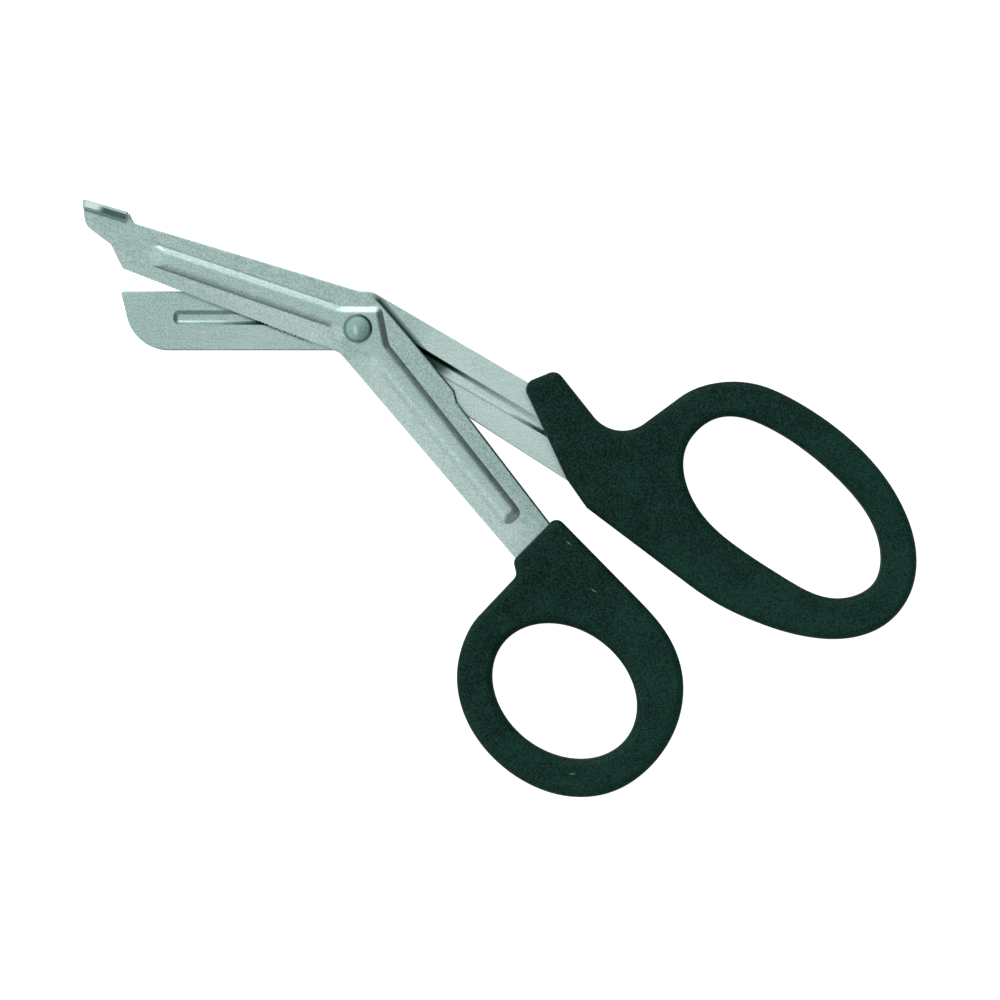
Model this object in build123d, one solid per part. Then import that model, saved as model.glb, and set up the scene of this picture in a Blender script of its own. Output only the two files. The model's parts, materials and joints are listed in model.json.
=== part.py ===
from build123d import *
from math import cos, pi, radians, sin
import os

# Bandage scissors, lying flat and a little open. Lengths are in millimetres and angles in degrees.
# X runs along the spine of the finger blade towards the handles and Z is up. Everything is drawn round the
# rivet's axis, and at the end it is moved so that the origin is under the middle of the whole, on the table.
# A slope is how far a line falls to the right of X. A reach is measured along such a line from the rivet,
# towards the handles, and an offset at right angles above it.

# Both levers are stamped from one sheet and lie one on the other
sheet_thickness = 1.5
mating_gap = 0.06
edge_round = 0.25
bead_height = 0.85
bead_wall_width = 1.6
bead_crest_round = 0.2
recess_margin = 0.6
recess_wall_width = 1.0
recess_depth = 0.65
grind_width = 2.3
thumb_edge_land = 1.25
finger_edge_land = 0.5
overrun = 2.0

# Rivet
rivet_diameter = 3.6
rivet_head_diameter = 5.5
rivet_head_height = 0.8
rivet_head_land = 0.45
rivet_tail_diameter = 4.6
rivet_tail_height = 0.9
rivet_running_clearance = 0.05

# Thumb blade, the upper lever, from its nose to its shank
thumb_spine_slope = 16.8
thumb_spine_offset = 7.6
thumb_edge_slope = 21.2
thumb_edge_depth = 6.0
thumb_edge_length = 50.3
thumb_shoulder_radius = 10.0
thumb_elbow_radius = 3.0
thumb_shank_slope = 49.5
thumb_shank_upper = 6.95
thumb_shank_lower = 6.1
thumb_neck_upper = 4.0
kink_reach = 22.9
kink_run = 2.2
kink_drop = 1.1
kink_radius = 1.5

# Blunt foot at the nose, bent up along the spine
foot_length = 10.05
foot_setback = 52.75
foot_outer_offset = 9.4
foot_throat_rise = 4.13
foot_throat_run = 3.9
foot_chin_rise = 2.3
foot_relief_run = 1.6
foot_bend_radius = 0.5
foot_bend_angle = 80.0
foot_leg = 3.4
foot_heel_round = 0.8
foot_nose_round = 2.6
foot_chin_radius = 3.5
foot_corner_radius = 0.5

# Fine teeth along the thumb blade's edge
tooth_pitch = 0.8
tooth_width = 0.5
tooth_depth = 0.14
tooth_start = 6.0

# Finger blade, the lower lever, from its round nose to its shank
finger_edge_offset = 7.85
finger_spine_depth = 4.45
finger_blade_length = 49.6
finger_nose_run = 3.0
finger_nose_radius = 9.0
finger_tip_radius = 0.5
finger_shoulder_radius = 2.0
finger_elbow_radius = 3.0
finger_upper_slope = 30.25
finger_upper_offset = 8.24
finger_lower_slope = 32.67
finger_lower_depth = 3.04

# Tangs inside the mouldings
tang_width = 6.5
tang_corner_radius = 1.2
tang_cover = 1.5
anchor_diameter = 3.2
moulding_clearance = 0.01

# Handles
handle_thickness = 9.0
handle_edge_round = 1.6
finger_collar_radius = 2.2
thumb_collar_radius = 1.8
finger_bow_reach = 95.0
finger_bow_rise = 14.4
finger_bow_slope = 39.4
finger_hole_length = 49.9
finger_hole_width = 24.9
finger_rim = 7.6
finger_tang_length = 23.4
finger_horn_rise = 5.15
finger_heel_drop = 2.9
finger_saddle_radius = 7.7
finger_heel_radius = 3.0
thumb_bow_reach = 85.6
thumb_bow_drop = 16.3
thumb_bow_slope = 37.1
thumb_hole_length = 32.6
thumb_hole_width = 25.7
thumb_rim = 7.7
thumb_tang_length = 13.4
thumb_collar_lip = 2.1

# Beads and the boss round the rivet, pressed outwards in both levers
boss_top = 4.7
boss_right = 4.95
boss_side_run = 1.55
boss_left = 4.1
boss_bottom = 2.5
boss_run = 0.6
thumb_bead_reach = 46.2
thumb_bead_run = 3.0
thumb_bead_upper = 4.7
thumb_bead_inner_upper = 3.5
thumb_bead_lower = 0.1
thumb_bead_inner_lower = 1.4
thumb_rib_reach = 51.8
thumb_rib_run = 0.8
thumb_rib_upper = 3.2
thumb_rib_end_upper = 1.15
thumb_rib_lower = 2.3
thumb_rib_end_lower = 3.3
finger_bead_reach = 39.2
finger_bead_upper = 4.5
finger_bead_lower = 0.4
finger_bead_inner_lower = 0.1
finger_boss_bottom = 3.9
finger_rib_reach = 52.0
finger_rib_upper = 4.15
finger_rib_end_upper = 4.7
finger_rib_lower = 0.5
finger_rib_end_lower = 0.95

# Shares of half the bow's length and half its width, from the bow's centre, clockwise round the outside
finger_bow_shares = [
    (-0.952, 0.218), (-0.841, 0.551), (-0.625, 0.825), (-0.381, 0.943), (0.055, 0.998),
    (0.335, 0.943), (0.600, 0.798), (0.862, 0.498), (0.979, 0.182), (0.993, -0.223),
    (0.886, -0.567), (0.669, -0.857), (0.299, -1.111), (0.074, -1.200), (-0.147, -1.236),
]
finger_hole_shares = [
    (-0.957, 0.04), (-0.832, 0.610), (-0.487, 0.905), (0.0, 0.992), (0.423, 0.913),
    (0.800, 0.610), (1.0, 0.0), (0.843, -0.590), (0.413, -0.880), (0.0, -0.975),
    (-0.480, -0.940), (-0.788, -0.648),
]
thumb_bow_shares = [
    (0.041, 1.191), (0.413, 1.089), (0.714, 0.872), (0.936, 0.475), (0.993, -0.030),
    (0.844, -0.543), (0.526, -0.859), (0.184, -0.979), (-0.190, -0.970), (-0.549, -0.823),
    (-0.818, -0.552), (-0.965, -0.200), (-0.990, 0.088),
]

# How firmly a bow's curve leaves and reaches the straight sides of the collar
end_pull_share = 1.0

# Shares of the tang's length, from the collar's face, and of the horn's rise
finger_collar_shares = [(-0.42, -0.20), (-0.225, 1.0), (0.575, -0.33)]
finger_upper_shoulder_share = -0.06
finger_lower_shoulder_share = 0.5
finger_mouth_share = 0.362
finger_heel_share = 0.645
anchor_share = 0.76
thumb_shoulder_share = 0.2
neck_share = 0.22
lip_share = 0.3
collar_lean_share = -0.084

# A pressed wall curves over in this many bands
wall_bands = 6

# Two edges closer than this are the same edge
seam = 0.001

# Sizes that follow from the ones above
mating_height = handle_thickness / 2
thumb_floor = mating_height + mating_gap / 2
thumb_top = thumb_floor + sheet_thickness
finger_top = mating_height - mating_gap / 2
finger_floor = finger_top - sheet_thickness
finger_shank_slope = (finger_upper_slope + finger_lower_slope) / 2
finger_tang_reach = finger_bow_reach - finger_hole_length / 2 - tang_cover
finger_collar_reach = finger_tang_reach - finger_tang_length
thumb_tang_reach = thumb_bow_reach - thumb_hole_width / 2 - tang_cover
thumb_collar_reach = thumb_tang_reach - thumb_tang_length
thumb_tang_middle = (thumb_neck_upper - thumb_shank_lower) / 2
finger_tang_middle = (finger_upper_offset - finger_lower_depth) / 2


def spot(slope, reach, offset):
    """Point at a reach along a falling line through the rivet, and an offset above that line."""
    fall = radians(slope)
    return (reach * cos(fall) + offset * sin(fall), offset * cos(fall) - reach * sin(fall))


def reading(slope, point):
    """Reach and offset of a point, the reverse of spot."""
    fall = radians(slope)
    across, up = tuple(point)[:2]
    return (across * cos(fall) - up * sin(fall), across * sin(fall) + up * cos(fall))


def meet(slope_a, offset_a, slope_b, offset_b):
    """Crossing of two falling lines, each with its own offset from the rivet."""
    a, b = radians(slope_a), radians(slope_b)
    spread = sin(a) * cos(b) - cos(a) * sin(b)
    across = (offset_a * cos(b) - offset_b * cos(a)) / spread
    up = (offset_b * sin(a) - offset_a * sin(b)) / spread
    return (across, up)


def neighbours(corners):
    """Each corner of a closed outline with the one before it and the one after it."""
    return zip(corners[-1:] + corners[:-1], corners, corners[1:] + corners[:1])


def inset(corners, margin):
    """A clockwise outline with every side moved inwards by a margin. Its round corners stay concentric."""
    moved = []
    for (before, _), (corner, radius), (after, _) in neighbours(corners):
        arriving = (Vector(*corner) - Vector(*before)).normalized()
        leaving = (Vector(*after) - Vector(*corner)).normalized()
        inwards = Vector(arriving.Y + leaving.Y, -arriving.X - leaving.X)
        shift = inwards * (margin / (1 + arriving.dot(leaving)))
        swell = margin if arriving.cross(leaving).Z > 0 else -margin
        moved.append(((corner[0] + shift.X, corner[1] + shift.Y), radius + swell if radius else 0))
    return moved


def rounded_wire(corners, height):
    """Closed wire at a height: straight sides, joined at each corner by a tangent arc of its radius."""
    edges = []
    ends = []
    for (before, _), (corner, radius), (after, _) in neighbours(corners):
        here = Vector(corner[0], corner[1], height)
        arriving = (Vector(*corner) - Vector(*before)).normalized()
        leaving = (Vector(*after) - Vector(*corner)).normalized()
        half_turn = radians(arriving.get_angle(leaving) / 2)
        run = radius * sin(half_turn) / cos(half_turn)
        middle = (leaving - arriving).normalized() * (radius / cos(half_turn) - radius)
        ends.append((here - arriving * run, here + middle, here + leaving * run, radius))
    for (_, _, start, _), (finish, crown, leave, radius) in zip(ends[-1:] + ends[:-1], ends):
        edges.append(Edge.make_line(start, finish))
        if radius:
            edges.append(Edge.make_three_point_arc(finish, crown, leave))
    return Wire(edges)


def plate(corners, floor, top):
    """Flat plate between two heights, from a rounded outline."""
    return Solid.extrude(Face(rounded_wire(corners, floor)), Vector(0, 0, top - floor))


def post(centre, diameter, floor, top):
    """Upright round post."""
    return Solid.make_cylinder(diameter / 2, top - floor, Plane((centre[0], centre[1], floor)))


def between(foot, crest, share):
    """Outline part of the way from one outline to another that has the same corners."""
    return [((x + (crest_x - x) * share, y + (crest_y - y) * share), radius)
            for ((x, y), radius), ((crest_x, crest_y), _) in zip(foot, crest)]


def pressed_form(foot, crest, margin, face_height, wall_width, lift):
    """A pressed bead on a face, a margin inside two outlines that differ where its wall is longer.

    Its walls leave the face steeply and curve over to a narrower crest.
    """
    shares = [band / wall_bands for band in range(wall_bands + 1)]
    bands = [rounded_wire(inset(between(foot, crest, share), margin + wall_width * share),
                          face_height + lift * sin(share * pi / 2)) for share in shares]
    return Solid.make_loft(bands, ruled=True)


def with_bead(lever, foot, crest, outer_face, mating_face, outwards, slack=0):
    """A lever, or the room for one, with one pressed form: raised outside and hollow on its mating face."""
    raised = pressed_form(foot, crest, -slack, outer_face, bead_wall_width, outwards * bead_height)
    hollow = pressed_form(foot, crest, recess_margin + slack, mating_face, recess_wall_width,
                          outwards * recess_depth)
    return lever + raised - hollow


def grind(slope, edge_offset, side, edge_land, end_reach, floor, outwards):
    """The wedge that is ground off the outer face along a cutting edge, and fades out near the rivet."""
    rise = (sheet_thickness - edge_land) / grind_width
    runout_reach = -boss_left
    full_reach = runout_reach - grind_width * 2

    def section(reach, share):
        inner = edge_offset + side * grind_width * share
        outer = edge_offset - side * overrun
        drop = rise * (grind_width + overrun) * share
        spread = [(inner, 0), (outer, -drop), (outer, overrun), (inner, overrun)]
        corners = [(*spot(slope, reach, offset), floor + outwards * lift) for offset, lift in spread]
        return Wire.make_polygon(corners)

    fade = Solid.make_loft([section(runout_reach, overrun / finger_blade_length), section(full_reach, 1)],
                           ruled=True)
    run = Solid.make_loft([section(full_reach, 1), section(end_reach, 1)], ruled=True)
    return [fade, run]


def thumb_lever_corners():
    """Clockwise outline of the thumb lever, foot and tang included, from the shoulder over the rivet."""
    slope = thumb_shank_slope
    shoulder_reach = thumb_collar_reach + thumb_shoulder_share * thumb_tang_length
    throat_reach = foot_setback + foot_relief_run / 2
    edge_end = spot(thumb_edge_slope, -thumb_edge_length, -thumb_edge_depth)
    edge_end_reach, edge_end_offset = reading(thumb_spine_slope, edge_end)
    throat = (edge_end_reach - foot_throat_run, edge_end_offset + foot_throat_rise)
    nose_reach = -foot_setback - foot_length
    chin = (nose_reach + foot_throat_run / 2, throat[1] + foot_chin_rise)
    return [
        (meet(thumb_spine_slope, thumb_spine_offset, slope, thumb_shank_upper), thumb_shoulder_radius),
        (spot(slope, kink_reach, thumb_shank_upper), kink_radius),
        (spot(slope, kink_reach + kink_run, thumb_shank_upper - kink_drop), kink_radius),
        (spot(slope, shoulder_reach, thumb_neck_upper), tang_corner_radius),
        (spot(slope, shoulder_reach, thumb_tang_middle + tang_width / 2), 0),
        (spot(slope, thumb_tang_reach, thumb_tang_middle + tang_width / 2), tang_corner_radius),
        (spot(slope, thumb_tang_reach, thumb_tang_middle - tang_width / 2), tang_corner_radius),
        (spot(slope, shoulder_reach, thumb_tang_middle - tang_width / 2), 0),
        (spot(slope, shoulder_reach, -thumb_shank_lower), tang_corner_radius),
        (meet(slope, -thumb_shank_lower, thumb_edge_slope, -thumb_edge_depth), thumb_elbow_radius),
        (edge_end, foot_corner_radius),
        (spot(thumb_spine_slope, *throat), kink_radius),
        (spot(thumb_spine_slope, *chin), foot_chin_radius),
        (spot(thumb_spine_slope, nose_reach, foot_outer_offset), foot_corner_radius),
        (spot(thumb_spine_slope, -foot_setback, foot_outer_offset), foot_corner_radius),
        (spot(thumb_spine_slope, foot_relief_run - foot_setback, thumb_spine_offset), kink_radius),
    ]


def foot_flange(floor):
    """The blunt foot: the sheet's rim bent up and slightly outwards, rounded where it meets the wound."""
    bend = radians(foot_bend_angle)
    outer_radius = foot_bend_radius + sheet_thickness
    start = foot_outer_offset - outer_radius * sin(bend) - foot_leg * cos(bend)
    far_reach = -foot_setback - foot_length

    def bent(radius, turn, leg):
        offset = start + radius * sin(turn) + leg * cos(bend)
        height = floor + outer_radius - radius * cos(turn) + leg * sin(bend)
        return Vector(*spot(thumb_spine_slope, -foot_setback, offset), height)

    lap = Vector(*spot(thumb_spine_slope, 0, -overrun))
    section = Wire([
        Edge.make_line(bent(outer_radius, 0, 0) + lap, bent(outer_radius, 0, 0)),
        Edge.make_three_point_arc(*[bent(outer_radius, bend * share, 0) for share in (0, 0.5, 1)]),
        Edge.make_line(bent(outer_radius, bend, 0), bent(outer_radius, bend, foot_leg)),
        Edge.make_line(bent(outer_radius, bend, foot_leg), bent(foot_bend_radius, bend, foot_leg)),
        Edge.make_line(bent(foot_bend_radius, bend, foot_leg), bent(foot_bend_radius, bend, 0)),
        Edge.make_three_point_arc(*[bent(foot_bend_radius, bend * share, 0) for share in (1, 0.5, 0)]),
        Edge.make_line(bent(foot_bend_radius, 0, 0), bent(foot_bend_radius, 0, 0) + lap),
        Edge.make_line(bent(foot_bend_radius, 0, 0) + lap, bent(outer_radius, 0, 0) + lap),
    ])
    strip = Solid.extrude(Face(section), Vector(*spot(thumb_spine_slope, -foot_length, 0)))
    leg_top = bent(foot_bend_radius, bend, foot_leg).Z
    side = [
        ((far_reach, leg_top), foot_nose_round),
        ((-foot_setback, leg_top), foot_heel_round),
        ((-foot_setback, floor - overrun), 0),
        ((far_reach, floor - overrun), 0),
    ]
    seen_from_side = Plane((0, 0, 0), x_dir=(*spot(thumb_spine_slope, overrun, 0), 0),
                           z_dir=(*spot(thumb_spine_slope, 0, -overrun), 0))
    rounding = seen_from_side * plate(side, -foot_outer_offset - overrun, 0)
    footprint = plate(thumb_lever_corners(), floor - overrun, leg_top + overrun)
    clear = [
        (spot(thumb_spine_slope, far_reach - overrun, start), 0),
        (spot(thumb_spine_slope, far_reach - overrun, foot_outer_offset + overrun), 0),
        (spot(thumb_spine_slope, -foot_setback, foot_outer_offset + overrun), 0),
        (spot(thumb_spine_slope, -foot_setback, start), 0),
    ]
    return strip & rounding & footprint, plate(clear, floor - overrun, leg_top)


def thumb_bead_corners(bead_run=0, rib_run=0, boss_run=0):
    """Clockwise foot of the thumb lever's pressed form: blade bead, boss and shank rib in one.

    The runs draw its two ends and the boss's lower corner in, for a crest whose wall is longer there.
    """
    blade, shank = thumb_spine_slope, thumb_shank_slope
    crest_radius = bead_wall_width + bead_crest_round
    return [
        (spot(blade, bead_run - thumb_bead_reach, thumb_bead_upper), crest_radius),
        (spot(blade, -boss_top, thumb_bead_inner_upper), boss_top),
        ((boss_right, boss_top), crest_radius),
        ((boss_right + boss_side_run, -thumb_rib_upper), boss_bottom),
        (spot(shank, thumb_rib_reach - rib_run, thumb_rib_end_upper), crest_radius),
        (spot(shank, thumb_rib_reach - rib_run, -thumb_rib_end_lower), crest_radius),
        (spot(shank, boss_right + boss_side_run, -thumb_rib_lower), boss_bottom),
        ((boss_run - boss_left, boss_run - boss_bottom), crest_radius),
        (spot(blade, -boss_right, -thumb_bead_inner_lower), boss_bottom),
        (spot(blade, bead_run - thumb_bead_reach, thumb_bead_lower), crest_radius),
    ]


def level_edges(solid, height):
    """Edges of a solid that lie wholly at one height."""
    boxes = [(edge, edge.bounding_box()) for edge in solid.edges()]
    return [edge for edge, box in boxes if abs(box.min.Z - height) < seam and abs(box.max.Z - height) < seam]


def on_line(edge, slope, offset):
    """Whether an edge of the sheet lies along a falling line at an offset from the rivet."""
    return abs(reading(slope, edge.center())[1] - offset) < seam


def rounded_sheet(corners, floor, top, edge_slope, edge_offset):
    """Stamped and tumbled blank: every rim is broken except the cutting edge."""
    sheet = plate(corners, floor, top)
    rims = level_edges(sheet, floor) + level_edges(sheet, top)
    return sheet.fillet(edge_round, [rim for rim in rims if not on_line(rim, edge_slope, edge_offset)])


def anchor_spot(slope, tang_reach, tang_length, tang_middle):
    """Centre of the hole through a tang that the moulding fills."""
    return spot(slope, tang_reach - tang_length * (1 - anchor_share), tang_middle)


def teeth_gaps():
    """Small vertical notches all along the thumb blade's cutting edge."""
    count = int((thumb_edge_length - tooth_start) / tooth_pitch)
    gaps = []
    for index in range(count):
        reach = -tooth_start - index * tooth_pitch
        notch = [
            (spot(thumb_edge_slope, reach - tooth_width / 2, -thumb_edge_depth), 0),
            (spot(thumb_edge_slope, reach, tooth_depth - thumb_edge_depth), 0),
            (spot(thumb_edge_slope, reach + tooth_width / 2, -thumb_edge_depth), 0),
            (spot(thumb_edge_slope, reach, -thumb_edge_depth - tooth_width), 0),
        ]
        gaps.append(plate(notch, thumb_floor - overrun, thumb_top + overrun))
    return gaps


def thumb_blade():
    """Upper lever: foot, blade with a toothed edge, boss, kinked shank and tang, stamped in one piece."""
    lever = rounded_sheet(thumb_lever_corners(), thumb_floor, thumb_top, thumb_edge_slope, -thumb_edge_depth)
    flange, clearing = foot_flange(thumb_floor)
    lever = lever - clearing + flange
    crest = thumb_bead_corners(thumb_bead_run, thumb_rib_run, boss_run)
    lever = with_bead(lever, thumb_bead_corners(), crest, thumb_top, thumb_floor, 1)
    for wedge in grind(thumb_edge_slope, -thumb_edge_depth, 1, thumb_edge_land, -thumb_edge_length - overrun,
                       thumb_top, 1):
        lever = lever - wedge
    lever = lever - teeth_gaps()
    bore = rivet_diameter + 2 * rivet_running_clearance
    lever = lever - post((0, 0), bore, thumb_floor - overrun, thumb_top + overrun)
    return lever - post(thumb_anchor, anchor_diameter, thumb_floor - overrun, thumb_top + overrun)


def finger_lever_corners():
    """Clockwise outline of the finger lever, round nose and tang included, from the shoulder."""
    shank = finger_shank_slope
    upper_reach = finger_collar_reach + finger_upper_shoulder_share * finger_tang_length
    lower_reach = finger_collar_reach + finger_lower_shoulder_share * finger_tang_length
    return [
        (meet(0, finger_edge_offset, finger_upper_slope, finger_upper_offset), finger_shoulder_radius),
        (spot(finger_upper_slope, upper_reach, finger_upper_offset), tang_corner_radius),
        (spot(shank, upper_reach, finger_tang_middle + tang_width / 2), 0),
        (spot(shank, finger_tang_reach, finger_tang_middle + tang_width / 2), tang_corner_radius),
        (spot(shank, finger_tang_reach, finger_tang_middle - tang_width / 2), tang_corner_radius),
        (spot(shank, lower_reach, finger_tang_middle - tang_width / 2), 0),
        (spot(finger_lower_slope, lower_reach, -finger_lower_depth), tang_corner_radius),
        (meet(finger_lower_slope, -finger_lower_depth, 0, -finger_spine_depth), finger_elbow_radius),
        ((finger_nose_run - finger_blade_length, -finger_spine_depth), finger_nose_radius),
        ((-finger_blade_length, finger_edge_offset), finger_tip_radius),
    ]


def finger_bead_corners():
    """Clockwise foot of the finger lever's pressed form, seen from above: bead, boss and rib in one."""
    shank = finger_shank_slope
    crest_radius = bead_wall_width + bead_crest_round
    return [
        ((-finger_bead_reach, finger_bead_upper), crest_radius),
        ((-boss_top, finger_bead_upper), boss_top),
        ((boss_right - boss_side_run, boss_top), crest_radius),
        (spot(shank, boss_right + boss_bottom, finger_rib_upper), boss_bottom),
        (spot(shank, finger_rib_reach, finger_rib_end_upper), crest_radius),
        (spot(shank, finger_rib_reach, finger_rib_end_lower), crest_radius),
        (spot(shank, boss_right, -finger_rib_lower), boss_bottom),
        ((-boss_left, -finger_boss_bottom), crest_radius),
        ((-boss_left - boss_side_run, finger_bead_inner_lower), boss_bottom),
        ((-finger_bead_reach, finger_bead_lower), crest_radius),
    ]


def finger_blade():
    """Lower lever: round-nosed blade with a plain edge, boss, shank and tang, stamped in one piece."""
    lever = rounded_sheet(finger_lever_corners(), finger_floor, finger_top, 0, finger_edge_offset)
    lever = with_bead(lever, finger_bead_corners(), finger_bead_corners(), finger_floor, finger_top, -1)
    for wedge in grind(0, finger_edge_offset, -1, finger_edge_land, -finger_blade_length - overrun,
                       finger_floor, -1):
        lever = lever - wedge
    lever = lever - post((0, 0), rivet_diameter, finger_floor - overrun, finger_top + overrun)
    return lever - post(finger_anchor, anchor_diameter, finger_floor - overrun, finger_top + overrun)


def around(centre, slope, half_length, half_width, shares):
    """Points round a bow, from shares of its half length and half width."""
    offsets = [spot(slope, along * half_length, across * half_width) for along, across in shares]
    return [Vector(centre[0] + x, centre[1] + y) for x, y in offsets]


def bow_outline(collar, radii, bow):
    """Closed outline of a handle: a smooth curve round the bow, then the collar's rounded corners."""
    neck = [bow[-1]] + [Vector(*corner) for corner in collar] + [bow[0]]
    ends = ((neck[-1] - neck[-2]).normalized(), (neck[1] - neck[0]).normalized())
    curve = Spline(*bow, tangents=ends, tangent_scalars=(end_pull_share, end_pull_share))
    return Wire([curve.edge()] + FilletPolyline(*neck, radius=radii).edges())


def tang_room(corners, floor, top):
    """Room in a moulding for a lever, with the clearance all round."""
    return plate(inset(corners, -moulding_clearance), floor - moulding_clearance, top + moulding_clearance)


def moulded_handle(outline, hole, room, anchor):
    """One moulding over a tang: rounded all round, open at the bow, with a plug through the anchor hole."""
    body = Solid.extrude(Face(outline, [hole]), Vector(0, 0, handle_thickness))
    body = body.fillet(handle_edge_round, level_edges(body, 0) + level_edges(body, handle_thickness))
    plug = post(anchor, anchor_diameter - 2 * moulding_clearance, finger_floor - overrun, thumb_top + overrun)
    return body - (room - plug)


def finger_handle():
    """The large bow for the fingers."""
    centre = spot(finger_shank_slope, finger_bow_reach, finger_bow_rise)
    half_length, half_width = finger_hole_length / 2, finger_hole_width / 2
    bow = around(centre, finger_bow_slope, half_length + finger_rim, half_width + finger_rim, finger_bow_shares)
    hole = around(centre, finger_bow_slope, half_length, half_width, finger_hole_shares)
    upper = reading(finger_shank_slope, spot(finger_upper_slope, finger_collar_reach, finger_upper_offset))[1]
    lower = reading(finger_shank_slope, spot(finger_lower_slope, finger_collar_reach, -finger_lower_depth))[1]

    def collar_spot(along_share, rise):
        return spot(finger_shank_slope, finger_collar_reach + along_share * finger_tang_length, rise)

    collar = [
        collar_spot(finger_heel_share, lower - finger_heel_drop),
        collar_spot(finger_mouth_share, lower),
    ] + [collar_spot(along, upper + across * finger_horn_rise) for along, across in finger_collar_shares]
    radii = [finger_heel_radius, finger_heel_radius, finger_collar_radius, finger_collar_radius,
             finger_saddle_radius]
    opening = Wire([Spline(*hole, periodic=True).edge()])
    room = tang_room(finger_lever_corners(), finger_floor, finger_top)
    room = with_bead(room, finger_bead_corners(), finger_bead_corners(), finger_floor - moulding_clearance,
                     finger_top + moulding_clearance, -1, moulding_clearance)
    return moulded_handle(bow_outline(collar, radii, bow), opening, room, finger_anchor)


def thumb_handle():
    """The small bow for the thumb."""
    centre = spot(thumb_shank_slope, thumb_bow_reach, -thumb_bow_drop)
    half_length, half_width = thumb_hole_length / 2, thumb_hole_width / 2
    bow = around(centre, thumb_bow_slope, half_length + thumb_rim, half_width + thumb_rim, thumb_bow_shares)

    def collar_spot(along_share, rise):
        return spot(thumb_shank_slope, thumb_collar_reach + along_share * thumb_tang_length, rise)

    collar = [
        collar_spot(neck_share, -thumb_shank_lower - thumb_collar_lip),
        collar_spot(0, -thumb_shank_lower - thumb_collar_lip * lip_share),
        collar_spot(collar_lean_share, thumb_neck_upper + thumb_collar_lip),
    ]
    radii = [thumb_collar_radius, thumb_collar_radius, thumb_collar_radius]
    plane = Plane((centre[0], centre[1], 0), x_dir=Vector(*spot(thumb_bow_slope, 1, 0)))
    opening = Wire([Edge.make_ellipse(half_length, half_width, plane)])
    room = tang_room(thumb_lever_corners(), thumb_floor, thumb_top)
    return moulded_handle(bow_outline(collar, radii, bow), opening, room, thumb_anchor)


def pivot_rivet():
    """Solid rivet: a domed head above the thumb lever's boss and a peened tail under the finger lever's."""
    seat = thumb_top + bead_height + rivet_running_clearance
    tail = finger_floor - bead_height
    head_radius, tail_radius, radius = rivet_head_diameter / 2, rivet_tail_diameter / 2, rivet_diameter / 2
    land = seat + rivet_head_land
    crown = seat + rivet_head_height
    foot = tail - rivet_tail_height
    edges = [
        Edge.make_line((0, 0, foot), (0, 0, crown)),
        Edge.make_tangent_arc((0, 0, crown), (crown, 0, 0), (head_radius, 0, land)),
        Edge.make_line((head_radius, 0, land), (head_radius, 0, seat)),
        Edge.make_line((head_radius, 0, seat), (radius, 0, seat)),
        Edge.make_line((radius, 0, seat), (radius, 0, tail)),
        Edge.make_line((radius, 0, tail), (tail_radius, 0, tail)),
        Edge.make_tangent_arc((0, 0, foot), (crown, 0, 0), (tail_radius, 0, tail)),
    ]
    return Solid.revolve(Face(Wire(edges)), 360, Axis.Z)


thumb_anchor = anchor_spot(thumb_shank_slope, thumb_tang_reach, thumb_tang_length, thumb_tang_middle)
finger_anchor = anchor_spot(finger_shank_slope, finger_tang_reach, finger_tang_length, finger_tang_middle)

pieces = {
    "thumb_blade": thumb_blade(),
    "finger_blade": finger_blade(),
    "thumb_handle": thumb_handle(),
    "finger_handle": finger_handle(),
    "pivot_rivet": pivot_rivet(),
}

middle = Compound(list(pieces.values())).bounding_box().center()
onto_table = Location((-middle.X, -middle.Y, 0))
print("rivet axis at", -middle.X, -middle.Y)

os.makedirs("parts", exist_ok=True)
for name, solid in pieces.items():
    print(name, solid.volume, solid.is_valid)
    export_step(onto_table * solid, os.path.join("parts", name + ".step"))
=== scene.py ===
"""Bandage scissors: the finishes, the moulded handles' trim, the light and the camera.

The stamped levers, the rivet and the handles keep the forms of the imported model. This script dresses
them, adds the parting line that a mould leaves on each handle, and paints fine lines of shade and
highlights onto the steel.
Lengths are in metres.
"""

import json
import logging
from dataclasses import dataclass
from enum import Enum
from math import cos, radians, sin

import bpy
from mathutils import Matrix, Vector


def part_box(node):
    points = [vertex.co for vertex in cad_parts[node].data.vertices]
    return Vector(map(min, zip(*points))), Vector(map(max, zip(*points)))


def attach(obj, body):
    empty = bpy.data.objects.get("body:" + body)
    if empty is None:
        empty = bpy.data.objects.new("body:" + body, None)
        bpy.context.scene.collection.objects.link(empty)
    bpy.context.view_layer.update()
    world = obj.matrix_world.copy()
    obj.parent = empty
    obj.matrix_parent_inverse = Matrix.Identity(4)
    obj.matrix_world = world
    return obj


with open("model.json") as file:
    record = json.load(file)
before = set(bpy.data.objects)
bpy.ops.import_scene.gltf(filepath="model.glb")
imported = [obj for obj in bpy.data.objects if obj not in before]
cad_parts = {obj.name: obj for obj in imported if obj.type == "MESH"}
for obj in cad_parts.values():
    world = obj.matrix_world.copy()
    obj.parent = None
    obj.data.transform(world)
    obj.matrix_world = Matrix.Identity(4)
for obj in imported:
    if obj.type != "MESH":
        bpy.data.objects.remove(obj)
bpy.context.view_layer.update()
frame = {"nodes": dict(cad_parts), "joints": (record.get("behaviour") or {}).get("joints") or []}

MM = 0.001
PER_MM = 1000.0
MERGE_GAP = 0.001 * MM
PIVOT = Vector(frame["joints"][0]["pos_m"])

Colour = tuple[float, float, float]
Stretch = tuple[float, float, float]
Stops = tuple[tuple[float, float], ...] | list[tuple[float, float]]
Input = "float | Shade | bpy.types.NodeSocket"

log = logging.getLogger("bandage_scissors")

# Colour of the painted shade and painted shadows laid over the steel and the rivet
PAINTED_SHADE = (0.012, 0.040, 0.032)

# Numbers of the Mix node's colour sockets
MIX_SHARE, MIX_FIRST, MIX_SECOND = 0, 6, 7
MIX_RESULT = 2


class Body(Enum):
    """The two levers that turn on the rivet."""

    FINGER = "finger_lever"
    THUMB = "thumb_lever"


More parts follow.
